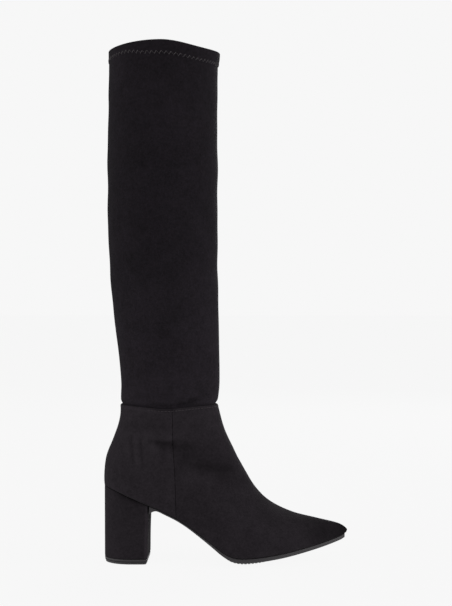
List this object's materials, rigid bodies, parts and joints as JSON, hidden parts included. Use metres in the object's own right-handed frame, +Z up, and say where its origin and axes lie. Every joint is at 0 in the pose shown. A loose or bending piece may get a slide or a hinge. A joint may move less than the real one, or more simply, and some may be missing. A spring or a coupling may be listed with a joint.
{
  "type": "block heel knee boot",
  "caption": "Right knee-high stretch boot in faux suede with a pointed toe, a covered block heel and a half-length inner zip.",
  "frame": {"origin": "bottom centre of the bounding box: under the middle of the boot's length, on the floor, halfway across the shaft", "axes": "+X towards the toe, +Y towards the inner side of the leg with the zip, +Z up the shaft"},
  "size_m": [0.2326, 0.0992, 0.4902],
  "materials": {
    "foot_suede": "matt black faux suede with a short nap",
    "stretch_suede": "matt black stretch faux suede",
    "sole_rubber": "matt dark grey rubber",
    "insole_cloth": "smooth black cloth on board",
    "zip_nylon": "black nylon coil",
    "zip_metal": "gloss black lacquered metal"
  },
  "bodies": {
    "boot": {"heel_lift": "sole_rubber", "heel_block": "foot_suede", "outsole": "sole_rubber", "insole": "insole_cloth", "foot_upper": "foot_suede", "shaft": "stretch_suede", "zip_chain": "zip_nylon", "zip_slider": "zip_metal"},
    "pull": {"zip_pull": "zip_metal"}
  },
  "joints": [
    {"name": "zip_pull_hinge", "type": "hinge", "parent": "boot", "child": "pull", "pos_m": [-0.05996, 0.04164, 0.20563], "axis": [0.9806, 0.0962, 0.1706], "range_deg": [0, 180]}
  ]
}
